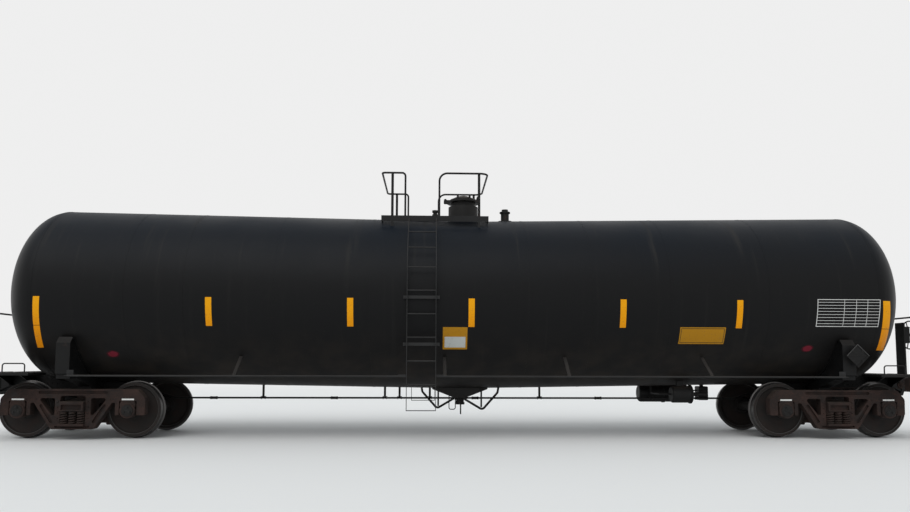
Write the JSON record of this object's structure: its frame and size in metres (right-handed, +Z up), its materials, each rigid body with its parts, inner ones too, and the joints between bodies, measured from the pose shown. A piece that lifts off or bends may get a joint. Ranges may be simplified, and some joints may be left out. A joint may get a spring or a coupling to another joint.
{
  "type": "railway tank car",
  "caption": "Black insulated tank car with a sloped jacketed tank, stub sills, top platform, ladders, knuckle couplers and two three-piece trucks",
  "frame": {"origin": "midway between the couplers on the floor under the wheel flanges, which is the centre of the bottom of the bounding box", "axes": "+X towards end a along the car, +Y to the side away from the picture's camera, +Z up"},
  "size_m": [17.04, 3.2022, 4.6129],
  "materials": {
    "tank_jacket": "black jacket paint, satin, dusty on top",
    "black_paint": "black paint, matt, road dirt",
    "deck_grating": "black painted steel grating",
    "fittings": "black painted castings",
    "truck_castings": "brown rust and brake dust",
    "wheel_steel": "rusted plate, polished tread",
    "coupler_castings": "rusty unpainted casting"
  },
  "bodies": {
    "car": {"tank": "tank_jacket", "stub_sill_a": "black_paint", "stub_sill_b": "black_paint", "body_bolster_a": "black_paint", "body_bolster_b": "black_paint", "draft_gear_a": "coupler_castings", "draft_gear_b": "coupler_castings", "uncoupling_levers": "coupler_castings", "side_handrails": "black_paint", "side_ladders": "black_paint", "sill_steps": "black_paint", "end_platforms": "black_paint", "end_handrails": "black_paint", "platform_deck": "deck_grating", "platform_railings": "black_paint", "manway_nozzle": "fittings", "manway_bolts": "fittings", "relief_valve": "fittings", "top_valves": "fittings", "bottom_outlet": "fittings", "outlet_handle": "black_paint", "heater_pipes": "fittings", "air_reservoir": "black_paint", "brake_cylinder": "black_paint", "brake_valve": "black_paint", "brake_pipe": "black_paint", "hand_brake": "black_paint", "hand_brake_chain": "black_paint", "placard_holders": "black_paint"},
    "truck_a": {"side_frames_a": "truck_castings", "truck_bolster_a": "truck_castings", "springs_a": "truck_castings", "brake_beams_a": "truck_castings", "bearings_a": "truck_castings"},
    "wheelset_a1": {"wheels_a1": "wheel_steel", "axle_a1": "wheel_steel"},
    "wheelset_a2": {"wheels_a2": "wheel_steel", "axle_a2": "wheel_steel"},
    "coupler_a": {"coupler_a": "coupler_castings"},
    "knuckle_a": {"knuckle_a": "coupler_castings"},
    "truck_b": {"side_frames_b": "truck_castings", "truck_bolster_b": "truck_castings", "springs_b": "truck_castings", "brake_beams_b": "truck_castings", "bearings_b": "truck_castings"},
    "wheelset_b1": {"wheels_b1": "wheel_steel", "axle_b1": "wheel_steel"},
    "wheelset_b2": {"wheels_b2": "wheel_steel", "axle_b2": "wheel_steel"},
    "coupler_b": {"coupler_b": "coupler_castings"},
    "knuckle_b": {"knuckle_b": "coupler_castings"},
    "manway_cover": {"manway_cover": "fittings"}
  },
  "joints": [
    {"name": "truck_a_swivel", "type": "hinge", "parent": "car", "child": "truck_a", "pos_m": [6.4, 0, 0.68], "axis": [0, 0, 1], "range_deg": [-7, 7]},
    {"name": "wheelset_a1_roll", "type": "hinge", "parent": "truck_a", "child": "wheelset_a1", "pos_m": [7.289, 0, 0.483], "axis": [0, 1, 0], "continuous": true},
    {"name": "wheelset_a2_roll", "type": "hinge", "parent": "truck_a", "child": "wheelset_a2", "pos_m": [5.511, 0, 0.483], "axis": [0, 1, 0], "continuous": true},
    {"name": "coupler_a_swing", "type": "hinge", "parent": "car", "child": "coupler_a", "pos_m": [7.605, 0, 0.902], "axis": [0, 0, 1], "range_deg": [-7, 7]},
    {"name": "knuckle_a_open", "type": "hinge", "parent": "coupler_a", "child": "knuckle_a", "pos_m": [8.395, 0.115, 0.902], "axis": [0, 0, 1], "range_deg": [0, 45]},
    {"name": "truck_b_swivel", "type": "hinge", "parent": "car", "child": "truck_b", "pos_m": [-6.4, 0, 0.68], "axis": [0, 0, 1], "range_deg": [-7, 7]},
    {"name": "wheelset_b1_roll", "type": "hinge", "parent": "truck_b", "child": "wheelset_b1", "pos_m": [-7.289, 0, 0.483], "axis": [0, 1, 0], "continuous": true},
    {"name": "wheelset_b2_roll", "type": "hinge", "parent": "truck_b", "child": "wheelset_b2", "pos_m": [-5.511, 0, 0.483], "axis": [0, 1, 0], "continuous": true},
    {"name": "coupler_b_swing", "type": "hinge", "parent": "car", "child": "coupler_b", "pos_m": [-7.605, 0, 0.902], "axis": [0, 0, 1], "range_deg": [-7, 7]},
    {"name": "knuckle_b_open", "type": "hinge", "parent": "coupler_b", "child": "knuckle_b", "pos_m": [-8.395, -0.115, 0.902], "axis": [0, 0, 1], "range_deg": [0, 45]},
    {"name": "manway_cover_lift", "type": "hinge", "parent": "car", "child": "manway_cover", "pos_m": [-0.272, 0, 4.283], "axis": [0, -1, 0], "range_deg": [0, 100]}
  ]
}
